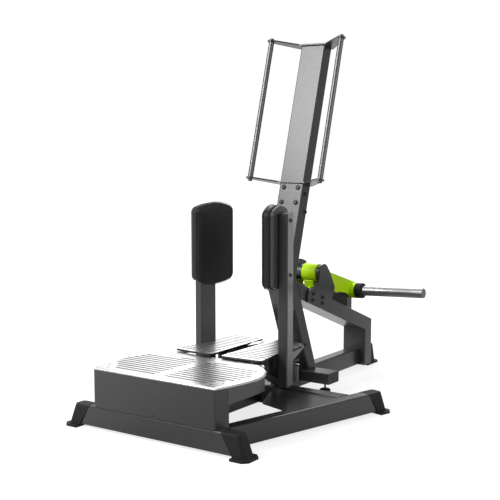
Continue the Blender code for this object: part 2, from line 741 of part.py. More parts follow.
def arm_bar(centre_a, radius_a, centre_b, radius_b):
    return hull(circle(centre_a, radius_a, 32) + circle(centre_b, radius_b, 24))


def build_weight_arm(root):
    hub = (HUB_Y, HUB_Z)
    rod("hub_shaft", (-SHAFT_HALF, HUB_Y, HUB_Z), (SHAFT_HALF, HUB_Y, HUB_Z), HUB_SHAFT_RADIUS,
        "bare_steel", root)
    front_edge = [(1.352, 0.640), (1.344, 0.594), (1.298, 0.570), (1.240, 0.554), (1.228, 0.540),
                  (1.222, 0.490), (1.400, 0.422)]
    edges = {1: arc(hub, 0.052, 25, 160, 10) + front_edge
             + [(1.470, 0.440), (1.498, 0.490), (1.519, 0.539), (1.455, 0.643)],
             -1: [(1.480, 0.669), (1.460, 0.688), (1.422, 0.699), (1.398, 0.704), (1.366, 0.690)]
             + front_edge + [(1.432, 0.436), (1.430, 0.500), (1.434, 0.559)]}
    for side, name in ((-1, "left"), (1, "right")):
        plate = side_slab(name + "_bearing_plate", edges[side], side * BEARING_IN,
                          side * BEARING_OUT, "powder_coat", root, smooth=True)
        inner_end = HUB_RIGHT + 0.002 if side > 0 else HUB_LEFT - 0.002
        add(plate, rod(name + "_spacer", (inner_end, HUB_Y, HUB_Z),
                       (side * (BEARING_IN + 0.004), HUB_Y, HUB_Z), 0.042, "powder_coat", root))
        cut(plate, rod(name + "_shaft_hole", (side * 0.02, HUB_Y, HUB_Z),
                       (side * (SHAFT_HALF + 0.001), HUB_Y, HUB_Z), HUB_SHAFT_RADIUS + GAP,
                       "bare_steel", root))

    centre = (0.0, HUB_Y, HUB_Z)
    axis = pivot("weight_arm_pivot", centre, root)
    arm = rod("weight_arm", (HUB_LEFT, HUB_Y, HUB_Z), (HUB_RIGHT, HUB_Y, HUB_Z), HUB_RADIUS,
              "lime_paint", axis, origin=centre, steps=48)
    beam = [(1.400, HUB_Z + 0.046), (1.440, 0.654), (1.557, 0.616), (1.673, 0.580), (1.880, 0.516),
            (1.884, 0.430), (1.822, 0.446), (1.735, 0.475), (1.599, 0.501), (1.455, 0.521),
            (1.381, 0.549), (1.368, 0.586)]
    add(arm, side_slab("arm_beam", beam[::-1], -ARM_HALF, ARM_HALF, "lime_paint", axis))
    add(arm, rod("horn_boss", (-0.0625, HORN_Y, HORN_Z), (0.0625, HORN_Y, HORN_Z), 0.0455,
                 "lime_paint", axis))
    tongue = [(1.440, 0.610), (1.385, 0.590), (1.385, 0.556), (1.362, 0.534)] \
        + arc(LUG, 0.0125, 75, 250, 14) + [(1.362, 0.504), (1.400, 0.504), (1.440, 0.560)]
    add(arm, side_slab("arm_tongue", tongue, -0.008, 0.008, "lime_paint", axis))
    add(arm, rod("lug_pin", (-0.0165, *LUG), (0.0165, *LUG), DRAW_PIN, "lime_paint", axis, steps=24))
    cut(arm, rod("hub_bore", (-0.1, HUB_Y, HUB_Z), (0.1, HUB_Y, HUB_Z), HUB_SHAFT_RADIUS + GAP,
                 "bare_steel", axis))

    for side, name in ((-1, "left"), (1, "right")):
        along = Vector((side * math.cos(HORN_TILT), 0.0, math.sin(HORN_TILT)))
        base = Vector((side * HORN_BASE_X, HORN_Y, HORN_Z))
        reach = (HORN_END_X - HORN_BASE_X) / math.cos(HORN_TILT)
        turned_solid(name + "_weight_horn",
                     [(HORN_RADIUS, 0.0), (HORN_RADIUS, reach - 0.0160),
                      (HORN_RADIUS - 0.0012, reach - 0.0155), (HORN_RADIUS - 0.0012, reach - 0.0135),
                      (HORN_RADIUS, reach - 0.0130), (HORN_RADIUS, reach - 0.003),
                      (HORN_RADIUS - 0.002, reach)],
                     base, along, "chrome", axis)
        inner = HORN_RADIUS + GAP
        turned_ring(name + "_horn_collar",
                    [(inner, 0.0), (COLLAR_RADIUS, 0.0), (COLLAR_RADIUS, COLLAR_LENGTH - 0.006),
                     (COLLAR_RADIUS - 0.008, COLLAR_LENGTH), (inner, COLLAR_LENGTH)],
                    base, along, "rubber", axis)

    stop = [(1.766, sloping_top(1.766) + 0.0004), (1.824, sloping_top(1.824) + 0.0004),
            (1.824, 0.4330), (1.812, 0.4330), (1.800, 0.4370), (1.790, 0.4434), (1.766, 0.4582)]
    side_slab("stop_bracket", stop, -0.026, 0.026, "powder_coat", root)
    rest = [(1.602, sloping_top(1.602) + 0.0004), (1.7655, sloping_top(1.7655) + 0.0004),
            (1.7655, 0.4600), (1.747, 0.4685), (1.602, 0.4949)]
    side_slab("stop_bumper", rest, -0.028, 0.028, "rubber", root)
    return axis


def build_lever(root, side, name):
    outward = Vector((side * math.sin(LEVER_TURN), -math.cos(LEVER_TURN), 0.0))
    inward = Vector((-side * math.cos(LEVER_TURN), -math.sin(LEVER_TURN), 0.0))
    post = Vector((side * POST_X, POST_Y, 0.0))
    centre = (side * PIVOT_X, PIVOT_Y, 0.0)
    axis = pivot(name + "_lever_pivot", centre, root)
    rod(name + "_pivot_shaft", (side * PIVOT_X, PIVOT_Y, REST_ON_RAIL),
        (side * PIVOT_X, PIVOT_Y, 0.300), SHAFT_RADIUS, "bare_steel", root, steps=40)

    face = post + inward * (POST_SHORT / 2 + 2 * GAP)
    ends = [face + outward * 0.044, face - outward * 0.044]
    arm = hull(circle((side * PIVOT_X, PIVOT_Y), HOUSING_RADIUS, 48)
               + [(end.x, end.y) for end in ends])
    base = slab(name + "_lever_base", arm, BASE_LOW, BASE_TOP, "powder_coat", axis,
                origin=centre)
    lug = hull(circle((side * PIVOT_X, PIVOT_Y), HOUSING_RADIUS - 0.012, 40)
               + circle((side * BOSS_X, BOSS_Y), BOSS_RADIUS, 40))
    add(base, slab(name + "_boss_lug", lug, BASE_LOW + 0.002, BASE_TOP, "powder_coat",
                   axis))
    bore = SHAFT_RADIUS + 2 * GAP
    cut(base, rod(name + "_base_bore", (side * PIVOT_X, PIVOT_Y, 0.1),
                  (side * PIVOT_X, PIVOT_Y, 0.25), bore, "bare_steel", axis, steps=40))
    roof = 0.302
    housing_low = BASE_TOP + GAP
    housing = turned_solid(name + "_pivot_housing",
                           [(HOUSING_RADIUS, housing_low), (HOUSING_RADIUS, HOUSING_TOP)],
                           centre, (0, 0, 1), "powder_coat", axis, origin=centre, steps=48)
    cut(housing, rod(name + "_housing_bore", (side * PIVOT_X, PIVOT_Y, 0.15),
                     (side * PIVOT_X, PIVOT_Y, roof), bore, "bare_steel", axis, steps=40))

    boss_at = (side * BOSS_X, BOSS_Y)
    boss_low = BASE_TOP + GAP
    boss = turned_solid(name + "_link_boss",
                        [(BOSS_RADIUS, boss_low), (BOSS_RADIUS, BOSS_TOP - 0.003),
                         (BOSS_RADIUS - 0.003, BOSS_TOP)],
                        (*boss_at, 0.0), (0, 0, 1), "powder_coat", axis, origin=centre)
    cut(boss, box(name + "_boss_slot", (side * BOSS_X - 0.06, BOSS_Y - 0.0165, LINK_Z - 0.012),
                  (side * BOSS_X + 0.06, BOSS_Y + 0.06, LINK_Z + 0.012), "bare_steel", axis))
    add(boss, rod(name + "_boss_pin", (*boss_at, LINK_Z - 0.018), (*boss_at, LINK_Z + 0.018),
                  LINK_PIN, "bare_steel", axis, steps=32))

    lever_post = tube(name + "_lever_post", post + Vector((0, 0, BASE_LOW)),
                      post + Vector((0, 0, POST_TOP)), outward, POST_SHORT, POST_LONG, 0.006,
                      "powder_coat", axis, closed_end=True, origin=centre)
    gusset_mid = post - inward * 0.018 - outward * (POST_LONG / 2 - 0.002)
    profile = [(0.0, 0.264), (0.0, 0.3096), (0.200, 0.3096), (0.200, 0.296)]
    loops = [[gusset_mid - inward * shift - outward * s + Vector((0, 0, z)) for s, z in profile]
             for shift in (-0.004, 0.004)]
    add(lever_post, loft(name + "_post_gusset", loops, "powder_coat", axis))

    inner_face = post + inward * (POST_SHORT / 2)
    near = inner_face + outward * (POST_LONG / 2) + inward * 0.0006
    far = inner_face - outward * (POST_LONG / 2) + inward * 0.0006
    notch = far - outward * 0.0006
    heel = notch - inward * 0.0300
    corners = [(0.030, 0.490), (0.264, 0.505), (side * near.x, near.y), (side * notch.x, notch.y),
               (side * heel.x, heel.y), (0.243, 0.830), (0.240, 0.920), (0.200, 0.978),
               (0.034, 0.976)]
    radii = [0.012, 0.015, 0.0, 0.0, 0.003, 0.02, 0.03, 0.03, 0.022]
    slab(name + "_foot_plate", mirrored(round_corners(corners, radii), side), PLATE_UNDER,
         PLATE_OVER, "polished_plate", axis, origin=centre)

    def pad_ring(inset, depth):
        spot = inner_face + Vector((0, 0, PAD_Z)) + inward * depth
        flat = barrel(PAD_WIDE - 2 * inset, PAD_HIGH - 2 * inset, max(0.028 - inset, 0.004))
        return [spot + outward * a + Vector((0, 0, b)) for a, b in flat]

    board = [(0.012, GAP), (0.008, GAP + 0.004), (0.008, GAP + BOARD_DEEP - 0.003),
             (0.011, GAP + BOARD_DEEP)]
    loft(name + "_pad_board", [pad_ring(inset, depth) for inset, depth in board], "board", axis,
         origin=centre, smooth=True)
    back = BOARD_DEEP + 2 * GAP
    cushion = [(0.007, 0.0), (0.002, 0.003), (0.0, 0.010), (0.0, 0.030), (0.0015, 0.0365),
               (0.005, 0.0402), (0.011, 0.0422), (0.022, 0.0438), (0.045, 0.0456),
               (0.080, 0.0468), (0.112, PAD_DEEP)]
    loft(name + "_pad_cushion", [pad_ring(inset, back + depth) for inset, depth in cushion],
         "upholstery", axis, origin=centre, smooth=True)
    return axis


def build_linkage(root, levers, arm_pivot):
    crank_at = (0.0, CRANK_Y, CRANK_Z)
    bracket = [(-0.0345, REST_ON_RAIL), (0.0345, REST_ON_RAIL), (0.0345, 0.1180),
               (0.0322, 0.1180), (0.0322, 0.1920), (0.0262, 0.1920), (0.0262, 0.1180),
               (-0.0262, 0.1180), (-0.0262, 0.1920), (-0.0322, 0.1920), (-0.0322, 0.1180),
               (-0.0345, 0.1180)]
    loops = [[(x, y, z) for x, z in bracket] for y in (CRANK_Y - 0.025, CRANK_Y + 0.025)]
    cradle = loft("crank_bracket", loops, "powder_coat", root)
    add(cradle, rod("crank_pin", (-0.0360, CRANK_Y, CRANK_Z), (0.0360, CRANK_Y, CRANK_Z),
                    CRANK_BORE - GAP, "bare_steel", root, steps=32))

    axis = pivot("bell_crank_pivot", crank_at, root)
    hub = (CRANK_Y, CRANK_Z)
    crank = rod("bell_crank", (-0.0255, CRANK_Y, CRANK_Z), (0.0255, CRANK_Y, CRANK_Z), 0.018,
                "powder_coat", axis, origin=crank_at)
    add(crank, side_slab("crank_input", arm_bar(hub, 0.016, CRANK_IN, 0.011), -0.008, 0.008,
                         "powder_coat", axis))
    add(crank, side_slab("crank_output", arm_bar(hub, 0.015, CRANK_OUT, 0.0115), -0.0079, 0.0079,
                         "powder_coat", axis))
    add(crank, rod("input_pin", (-0.062, *CRANK_IN), (0.062, *CRANK_IN), DRAW_PIN, "bare_steel",
                   axis, steps=24))
    add(crank, rod("output_pin", (-0.0165, *CRANK_OUT), (0.0165, *CRANK_OUT), DRAW_PIN,
                   "bare_steel", axis, steps=24))
    cut(crank, rod("crank_bore", (-0.04, CRANK_Y, CRANK_Z), (0.04, CRANK_Y, CRANK_Z), CRANK_BORE,
                   "bare_steel", axis, steps=32))

    for side, name in ((-1, "left"), (1, "right")):
        front = Vector((side * BOSS_X, BOSS_Y, LINK_Z))
        rear = Vector((side * LINK_REAR_X, CRANK_IN[0], LINK_REAR_Z))
        along = (rear - front).normalized()
        joint = pivot(name + "_link_rod_pivot", front, levers[side])
        link = rod(name + "_link_rod", front + along * 0.010, rear - along * 0.0125, 0.0055,
                   "bare_steel", joint, origin=front, steps=20)
        add(link, rod(name + "_front_eye", front - Vector((0, 0, 0.007)),
                      front + Vector((0, 0, 0.007)), 0.014, "bare_steel", joint))
        add(link, rod(name + "_rear_eye", rear - Vector((0.005, 0, 0)),
                      rear + Vector((0.005, 0, 0)), 0.0165, "bare_steel", joint))
        cut(link, rod(name + "_front_eye_hole", front - Vector((0, 0, 0.02)),
                      front + Vector((0, 0, 0.02)), LINK_PIN + 2 * GAP, "bare_steel", joint,
                      steps=32))
        cut(link, rod(name + "_rear_eye_hole", rear - Vector((0.02, 0, 0)),
                      rear + Vector((0.02, 0, 0)), 0.0105, "bare_steel", joint, steps=32))

    lug_at = (0.0, *LUG)
    swing = pivot("draw_rod_pivot", lug_at, arm_pivot)
    slot_mid = (CRANK_OUT[0] + 0.0031, CRANK_OUT[1])
    slot_half = 0.0045
    low_ends = [(slot_mid[0] + shift, slot_mid[1]) for shift in (-slot_half, slot_half)]
    low_eye = hull(circle(low_ends[0], 0.0110, 28) + circle(low_ends[1], 0.0110, 28))
    blade = hull(circle(LUG, 0.0070, 24) + circle(slot_mid, 0.0070, 24))
    bars = {}
    for side, name in ((-1, "left"), (1, "right")):
        low, high = sorted((side * 0.0095, side * 0.0140))
        bar = side_slab("draw_rod" if side > 0 else "draw_rod_left_bar", blade, low, high,
                        "bare_steel", swing, origin=lug_at)
        add(bar, side_slab(name + "_low_eye", low_eye, low, high, "bare_steel", swing))
        add(bar, side_slab(name + "_high_eye", circle(LUG, 0.0120, 28), low, high, "bare_steel",
                           swing))
        bars[side] = bar
    draw = bars[1]
    add(draw, bars[-1])
    for share in (0.35, 0.65):
        spot = Vector(lug_at).lerp(Vector((0.0, *slot_mid)), share)
        add(draw, rod("draw_spacer_" + str(int(share * 100)), spot - Vector((0.0120, 0, 0)),
                      spot + Vector((0.0120, 0, 0)), 0.005, "bare_steel", swing, steps=20))
    cut(draw, rod("lug_pin_hole", (-0.03, *LUG), (0.03, *LUG), DRAW_PIN + 2 * GAP, "bare_steel",
                  swing, steps=24))
    slot = hull(circle(low_ends[0], 0.0060, 28) + circle(low_ends[1], 0.0060, 28))
    cut(draw, side_slab("crank_pin_slot", slot, -0.03, 0.03, "bare_steel", swing))


clear_scene()
machine = bpy.data.objects.new("hip_abductor_machine", None)
attach(machine, (0.0, 0.0, 0.0), None)
machine.location = (0.0, SHIFT_Y, 0.0)
build_base(machine)
build_frame(machine)
build_step(machine)
build_handles(machine)
weight_pivot = build_weight_arm(machine)
lever_pivots = {side: build_lever(machine, side, name)
                for side, name in ((-1, "left"), (1, "right"))}
build_linkage(machine, lever_pivots, weight_pivot)
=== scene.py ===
"""Dressed scene of the standing hip abductor machine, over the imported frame."""
import json
import math

import bmesh
import bpy
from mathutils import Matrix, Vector


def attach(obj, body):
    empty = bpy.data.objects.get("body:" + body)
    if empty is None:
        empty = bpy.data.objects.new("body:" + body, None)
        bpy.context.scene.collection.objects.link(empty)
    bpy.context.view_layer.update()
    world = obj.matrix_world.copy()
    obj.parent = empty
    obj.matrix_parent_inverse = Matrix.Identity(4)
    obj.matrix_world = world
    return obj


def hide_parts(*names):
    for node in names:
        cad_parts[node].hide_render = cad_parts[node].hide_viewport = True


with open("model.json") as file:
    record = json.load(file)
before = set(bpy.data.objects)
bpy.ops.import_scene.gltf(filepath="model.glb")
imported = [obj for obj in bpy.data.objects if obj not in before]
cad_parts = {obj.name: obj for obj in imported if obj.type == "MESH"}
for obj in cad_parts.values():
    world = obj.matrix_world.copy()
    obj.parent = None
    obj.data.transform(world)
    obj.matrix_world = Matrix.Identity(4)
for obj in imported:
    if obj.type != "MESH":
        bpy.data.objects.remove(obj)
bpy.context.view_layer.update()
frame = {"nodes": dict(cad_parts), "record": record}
nodes = frame["nodes"]
scene = bpy.context.scene

SIDES = ((-1, "left"), (1, "right"))

# Sizes are in metres and match the part's source. Its depths count from the front face of the
# front cross tube, and SHIFT_Y moves them into the shared frame.
SHIFT_Y = -1.039
LEVER_TURN = math.radians(15)
POST_AT = (0.249, 0.7425)
POST_SHORT = 0.050
PAD_Z = 0.8445
PAD_WIDE = 0.244
PAD_HIGH = 0.430
PAD_BOW = 0.14
BOARD_DEEP = 0.020
TREAD_TOP = 0.304
FOOT_PLATE_TOP = 0.320


def row(x, y, z):
    """Point of the part's source in the shared frame."""
    return Vector((x, y + SHIFT_Y, z))


# materials
def new_material(name):
    material = bpy.data.materials.new(name)
    material.use_nodes = True
    tree = material.node_tree
    return material, tree, tree.nodes["Principled BSDF"]


def coordinates(tree, stretch=(1.0, 1.0, 1.0)):
    """The piece's own coordinates, stretched along each axis."""
    source = tree.nodes.new("ShaderNodeTexCoord")
    mapping = tree.nodes.new("ShaderNodeMapping")
    mapping.inputs["Scale"].default_value = stretch
    tree.links.new(source.outputs["Object"], mapping.inputs["Vector"])
    return mapping.outputs["Vector"]


def noise(tree, vector, scale, detail):
    node = tree.nodes.new("ShaderNodeTexNoise")
    node.inputs["Scale"].default_value = scale
    node.inputs["Detail"].default_value = detail
    node.inputs["Roughness"].default_value = 0.55
    tree.links.new(vector, node.inputs["Vector"])
    return node.outputs["Fac"]


def combined(tree, operation, *values):
    """Result of a math node over sockets and plain numbers."""
    node = tree.nodes.new("ShaderNodeMath")
    node.operation = operation
    for socket, value in zip(node.inputs, values):
        if isinstance(value, float):
            socket.default_value = value
        else:
            tree.links.new(value, socket)
    return node.outputs["Value"]


def ramp(tree, factor, stops):
    node = tree.nodes.new("ShaderNodeValToRGB")
    node.color_ramp.elements[0].position = stops[0][0]
    node.color_ramp.elements[0].color = (*stops[0][1], 1.0)
    node.color_ramp.elements[1].position = stops[-1][0]
    node.color_ramp.elements[1].color = (*stops[-1][1], 1.0)
    for place, colour in stops[1:-1]:
        node.color_ramp.elements.new(place).color = (*colour, 1.0)
    tree.links.new(factor, node.inputs["Fac"])
    return node.outputs["Color"]


def span(tree, factor, low, high, from_low=0.3, from_high=0.7):
    """Factor from one range carried over to another."""
    node = tree.nodes.new("ShaderNodeMapRange")
    node.inputs["From Min"].default_value = from_low
    node.inputs["From Max"].default_value = from_high
    node.inputs["To Min"].default_value = low
    node.inputs["To Max"].default_value = high
    tree.links.new(factor, node.inputs["Value"])
    return node.outputs["Result"]


def bump(tree, shader, height, distance, strength=1.0):
    node = tree.nodes.new("ShaderNodeBump")
    node.inputs["Distance"].default_value = distance
    node.inputs["Strength"].default_value = strength
    tree.links.new(height, node.inputs["Height"])
    tree.links.new(node.outputs["Normal"], shader.inputs["Normal"])


def toned(tree, shader, factor, colour, spread):
    """Base colour that drifts between a darker and a lighter tone."""
    dark = tuple(value * (1 - spread) for value in colour)
    light = tuple(min(1.0, value * (1 + spread)) for value in colour)
    tree.links.new(ramp(tree, factor, [(0.3, dark), (0.7, light)]), shader.inputs["Base Color"])


def facing_up(tree):
    """How far a face looks up, from -1 to 1."""
    geometry = tree.nodes.new("ShaderNodeNewGeometry")
    parts = tree.nodes.new("ShaderNodeSeparateXYZ")
    tree.links.new(geometry.outputs["Normal"], parts.inputs["Vector"])
    return parts.outputs["Z"]


def mottled(name, colour, spread, rough, grain=900.0, grain_depth=0.00004, metallic=0.0):
    """Painted or moulded surface: slight colour drift, fine surface grain, uneven gloss."""
    material, tree, shader = new_material(name)
    vector = coordinates(tree)
    toned(tree, shader, noise(tree, vector, 6.0, 4.0), colour, spread)
    speck = noise(tree, vector, grain, 2.0)
    tree.links.new(span(tree, speck, rough[0], rough[1]), shader.inputs["Roughness"])
    bump(tree, shader, speck, grain_depth)
    shader.inputs["Metallic"].default_value = metallic
    return material


def brushed(name, colour, spread, rough, stretch, depth=0.00003):
    """Bare metal with fine lines along one axis."""
    material, tree, shader = new_material(name)
    lines = noise(tree, coordinates(tree, stretch), 40.0, 4.0)
    toned(tree, shader, lines, colour, spread)
    tree.links.new(span(tree, lines, rough[0], rough[1]), shader.inputs["Roughness"])
    bump(tree, shader, lines, depth)
    shader.inputs["Metallic"].default_value = 1.0
    return material


def plate_with_painted_shade(name, colour, edge):
    """Bright flat plate: level faces shine, and cut edges and upright faces take a darker colour by
    how far they look up, as painted shade.
    """
    material = brushed(name, colour, 0.03, (0.24, 0.34), (0.25, 6.0, 6.0), 0.000005)
    tree = material.node_tree
    shader = tree.nodes["Principled BSDF"]
    bright = shader.inputs["Base Color"].links[0].from_socket
    # Mix towards the edge colour where a face does not look up: painted shade on upright faces and
    # cut edges.
    mix = tree.nodes.new("ShaderNodeMix")
    mix.data_type = "RGBA"
    mix.inputs["A"].default_value = (*edge, 1.0)
    tree.links.new(span(tree, facing_up(tree), 0.0, 1.0, 0.55, 0.85), mix.inputs["Factor"])
    tree.links.new(bright, mix.inputs["B"])
    tree.links.new(mix.outputs["Result"], shader.inputs["Base Color"])
    return material


def chrome_with_painted_light(name):
    """Polished tube, bright above and darker on its underside: painted highlight and painted shade
    by how far each face looks up.
    """
    material, tree, shader = new_material(name)
    height = span(tree, facing_up(tree), 0.0, 1.0, -1.0, 1.0)
    lines = noise(tree, coordinates(tree, (1.0, 9.0, 9.0)), 30.0, 3.0)
    # Colour by facing: painted shade from the underside round to the sides, and a painted highlight
    # band on the upper side.
    colour = ramp(tree, height, [(0.0, (0.24, 0.24, 0.25)), (0.30, (0.17, 0.17, 0.18)),
                                 (0.50, (0.13, 0.13, 0.14)), (0.58, (0.36, 0.36, 0.37)),
                                 (0.80, (0.50, 0.50, 0.51)), (1.0, (0.40, 0.40, 0.41))])
    tree.links.new(colour, shader.inputs["Base Color"])
    tree.links.new(span(tree, lines, 0.28, 0.34), shader.inputs["Roughness"])
    shader.inputs["Metallic"].default_value = 0.45
    return material


def knurled(name):
    """Light steel grip with crossed cuts."""
    material, tree, shader = new_material(name)
    vector = coordinates(tree)
    waves = []
    for lean in (1.0, -1.0):
        mapping = tree.nodes.new("ShaderNodeMapping")
        mapping.inputs["Scale"].default_value = (lean, 0.4, 1.0)
        tree.links.new(vector, mapping.inputs["Vector"])
        wave = tree.nodes.new("ShaderNodeTexWave")
        wave.wave_type = "BANDS"
        wave.bands_direction = "DIAGONAL"
        wave.inputs["Scale"].default_value = 95.0
        tree.links.new(mapping.outputs["Vector"], wave.inputs["Vector"])
        waves.append(wave.outputs["Fac"])
    cuts = combined(tree, "MULTIPLY", *waves)
    # Darker where the cuts sink: painted shade in the grooves.
    colour = ramp(tree, cuts, [(0.0, (0.090, 0.091, 0.093)), (1.0, (0.230, 0.232, 0.235))])
    tree.links.new(colour, shader.inputs["Base Color"])
    bump(tree, shader, cuts, 0.0004, 0.7)
    shader.inputs["Metallic"].default_value = 1.0
    shader.inputs["Roughness"].default_value = 0.30
    shader.inputs["Specular Tint"].default_value = (0.15, 0.15, 0.15, 1.0)
    return material


def vinyl(name, colour):
    """Upholstery vinyl with a fine leather grain."""
    material, tree, shader = new_material(name)
    vector = coordinates(tree)
    cells = tree.nodes.new("ShaderNodeTexVoronoi")
    cells.feature = "DISTANCE_TO_EDGE"
    cells.inputs["Scale"].default_value = 420.0
    tree.links.new(vector, cells.inputs["Vector"])
    soft = noise(tree, vector, 60.0, 4.0)
    grain = combined(tree, "MULTIPLY_ADD", soft, 0.6, cells.outputs["Distance"])
    toned(tree, shader, noise(tree, vector, 7.0, 3.0), colour, 0.12)
    tree.links.new(span(tree, soft, 0.48, 0.58), shader.inputs["Roughness"])
    bump(tree, shader, grain, 0.0006, 0.35)
    return material


POWDER = mottled("powder_coat", (0.034, 0.035, 0.037), 0.05, (0.25, 0.33), grain_depth=0.00003)
LIME = mottled("lime_paint", (0.600, 0.960, 0.003), 0.03, (0.48, 0.58))
RUBBER = mottled("rubber", (0.011, 0.011, 0.0115), 0.10, (0.60, 0.75), grain=500.0,
                 grain_depth=0.00008)
BOARD = mottled("pad_board", (0.030, 0.030, 0.031), 0.08, (0.50, 0.62), grain=300.0)
# The last colour of each plate is its painted shade on upright faces and cut edges.
PLATE = plate_with_painted_shade("bright_plate", (0.90, 0.905, 0.91), (0.035, 0.036, 0.038))
TREAD = plate_with_painted_shade("tread_plate", (0.90, 0.905, 0.91), (0.42, 0.425, 0.43))
CHROME = chrome_with_painted_light("chrome")
STEEL = brushed("bare_steel", (0.42, 0.42, 0.43), 0.10, (0.28, 0.40), (2.0, 12.0, 12.0))
BOLT = mottled("bolt_steel", (0.010, 0.010, 0.0105), 0.10, (0.30, 0.42))
MARK = mottled("grip_mark", (0.100, 0.101, 0.103), 0.08, (0.35, 0.48), metallic=0.7)
GRIP = knurled("knurled_grip")
VINYL = vinyl("pad_vinyl", (0.014, 0.014, 0.0145))
PIPING = vinyl("pad_piping", (0.010, 0.010, 0.0105))

SOFT_GLOSS = 0.28
for material in (RUBBER, VINYL, PIPING, LIME):
    gloss = material.node_tree.nodes["Principled BSDF"].inputs["Specular IOR Level"]
    gloss.default_value = SOFT_GLOSS

SLOT_LOOK = {"powder_coat": POWDER, "lime_paint": LIME, "polished_plate": PLATE,
             "chrome": CHROME, "grip_steel": GRIP, "rubber": RUBBER, "upholstery": VINYL,
             "board": BOARD, "bare_steel": STEEL}


# mesh helpers
def mesh_piece(name, points, faces, material, body, smooth=False):
    mesh = bpy.data.meshes.new(name)
    mesh.from_pydata([tuple(point) for point in points], [], faces)
    shape = bmesh.new()
    shape.from_mesh(mesh)
    bmesh.ops.recalc_face_normals(shape, faces=shape.faces)
    shape.to_mesh(mesh)
    shape.free()
    if smooth:
        mesh.shade_smooth()
        mesh.set_sharp_from_angle(angle=math.radians(38))
    obj = bpy.data.objects.new(name, mesh)
    obj.data.materials.append(material)
    scene.collection.objects.link(obj)
    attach(obj, body)
    return obj


def skin(loops, offset=0):
    """Points and faces of a closed skin over loops of equal length."""
    count = len(loops[0])
    points = [point for loop in loops for point in loop]
    faces = []
    for level in range(len(loops) - 1):
        for index in range(count):
            other = (index + 1) % count
            low = offset + level * count
            faces.append((low + index, low + other, low + count + other, low + count + index))
    faces.append(tuple(offset + index for index in range(count)))
    faces.append(tuple(offset + len(points) - count + index for index in range(count)))
    return points, faces


def basis(axis):
    """The axis and two directions square to it."""
    axis = Vector(axis).normalized()
    first = axis.orthogonal().normalized()
    return axis, first, axis.cross(first)


BOLT_SIDES = 24
WASHER_HIGH = 0.0015


def bolt(name, at, axis, radius, height, body, washer=True):
    """Button head, on a washer or sunk, with its hexagonal recess."""
    axis, first, second = basis(axis)
    turns = [math.tau * index / BOLT_SIDES for index in range(BOLT_SIDES)]

    def loop(sizes, lift):
        return [at + axis * lift + (first * math.cos(turn) + second * math.sin(turn)) * size
                for turn, size in zip(turns, sizes)]

    def ring(size, lift):
        return loop([size] * BOLT_SIDES, lift)

    def hexagon(size, lift):
        return loop([size * math.cos(math.pi / 6)
                     / math.cos(turn % (math.pi / 3) - math.pi / 6) for turn in turns], lift)

    base = WASHER_HIGH if washer else 0.0
    foot = [(1.35, 0.0), (1.35, base * 0.8), (1.30, base), (1.02, base)] if washer else [(1.0, 0.0)]
    head = [(1.0, base + 0.0002), (0.97, base + height * 0.45), (0.85, base + height * 0.80),
            (0.68, base + height)]
    loops = [ring(radius * size, lift) for size, lift in foot + head]
    loops += [hexagon(radius * 0.52, base + height),
              hexagon(radius * 0.50, base + height * 0.45)]
    points, faces = skin(loops)
    return mesh_piece(name, points, faces, BOLT, body, smooth=True)


def tube_along(name, path, radius, material, body, sides=10):
    """Closed round cord along a closed path."""
    count = len(path)
    middle = sum(path, Vector()) / count
    points = []
    faces = []
    for index in range(count):
        along = (path[(index + 1) % count] - path[index - 1]).normalized()
        out = path[index] - middle
        out = (out - along * out.dot(along)).normalized()
        side = along.cross(out)
        for step in range(sides):
            turn = math.tau * step / sides
            points.append(path[index] + (out * math.cos(turn) + side * math.sin(turn)) * radius)
    for index in range(count):
        low = index * sides
        high = (index + 1) % count * sides
        for step in range(sides):
            other = (step + 1) % sides
            faces.append((low + step, low + other, high + other, high + step))
    return mesh_piece(name, points, faces, material, body, smooth=True)


# CAD node looks
EDGE_WIDE = 0.0012
BEVELLED = ("powder_coat", "polished_plate", "lime_paint", "rubber", "board")
node_slot = {entry["node"]: entry["material_slot"] for entry in frame["record"]["subparts"]}
for name, obj in nodes.items():
    obj.data.materials.clear()
    look = TREAD if name == "step_tread_plate" else SLOT_LOOK[node_slot[name]]
    obj.data.materials.append(look)
    if node_slot[name] in BEVELLED:
        edge = obj.modifiers.new("edge", "BEVEL")
        edge.width = EDGE_WIDE
        edge.segments = 2
        edge.limit_method = "ANGLE"
        edge.angle_limit = math.radians(40)

# tread marks
BAR_SUNK = 0.0004
BAR_TOP_SHARE = 0.55


def raised_bars(name, bars, top, half, height, body):
    """Low bars with sloping sides on a plate. Each bar is (x0, y0, x1, y1)."""
    points = []
    faces = []
    for x0, y0, x1, y1 in bars:
        start = row(x0, y0, top)
        end = row(x1, y1, top)
        along = (end - start).normalized()
        side = Vector((-along.y, along.x, 0.0))
        loops = []
        for lift, size in ((-BAR_SUNK, 1.0), (height, BAR_TOP_SHARE)):
            reach = along * (half * (1 - size))
            across = side * (half * size)
            up = Vector((0, 0, lift))
            loops.append([start + reach - across + up, end - reach - across + up,
                          end - reach + across + up, start + reach + across + up])
        more, other = skin(loops, len(points))
        points += more
        faces += other
    return mesh_piece(name, points, faces, MARK, body)


# the step's edge on one side, as distance from the middle and depth
STEP_EDGE = [(0.362, 0.022), (0.374, 0.100), (0.384, 0.150), (0.392, 0.200), (0.398, 0.255),
             (0.394, 0.300), (0.379, 0.350), (0.350, 0.400), (0.305, 0.442), (0.262, 0.470),
             (0.225, 0.488)]


def step_reach(y):
    """How far the tread's flat reaches from the middle at that depth."""
    for (x0, y0), (x1, y1) in zip(STEP_EDGE, STEP_EDGE[1:]):
        if y0 <= y <= y1:
            return x0 + (x1 - x0) * (y - y0) / (y1 - y0)
    return 0.0


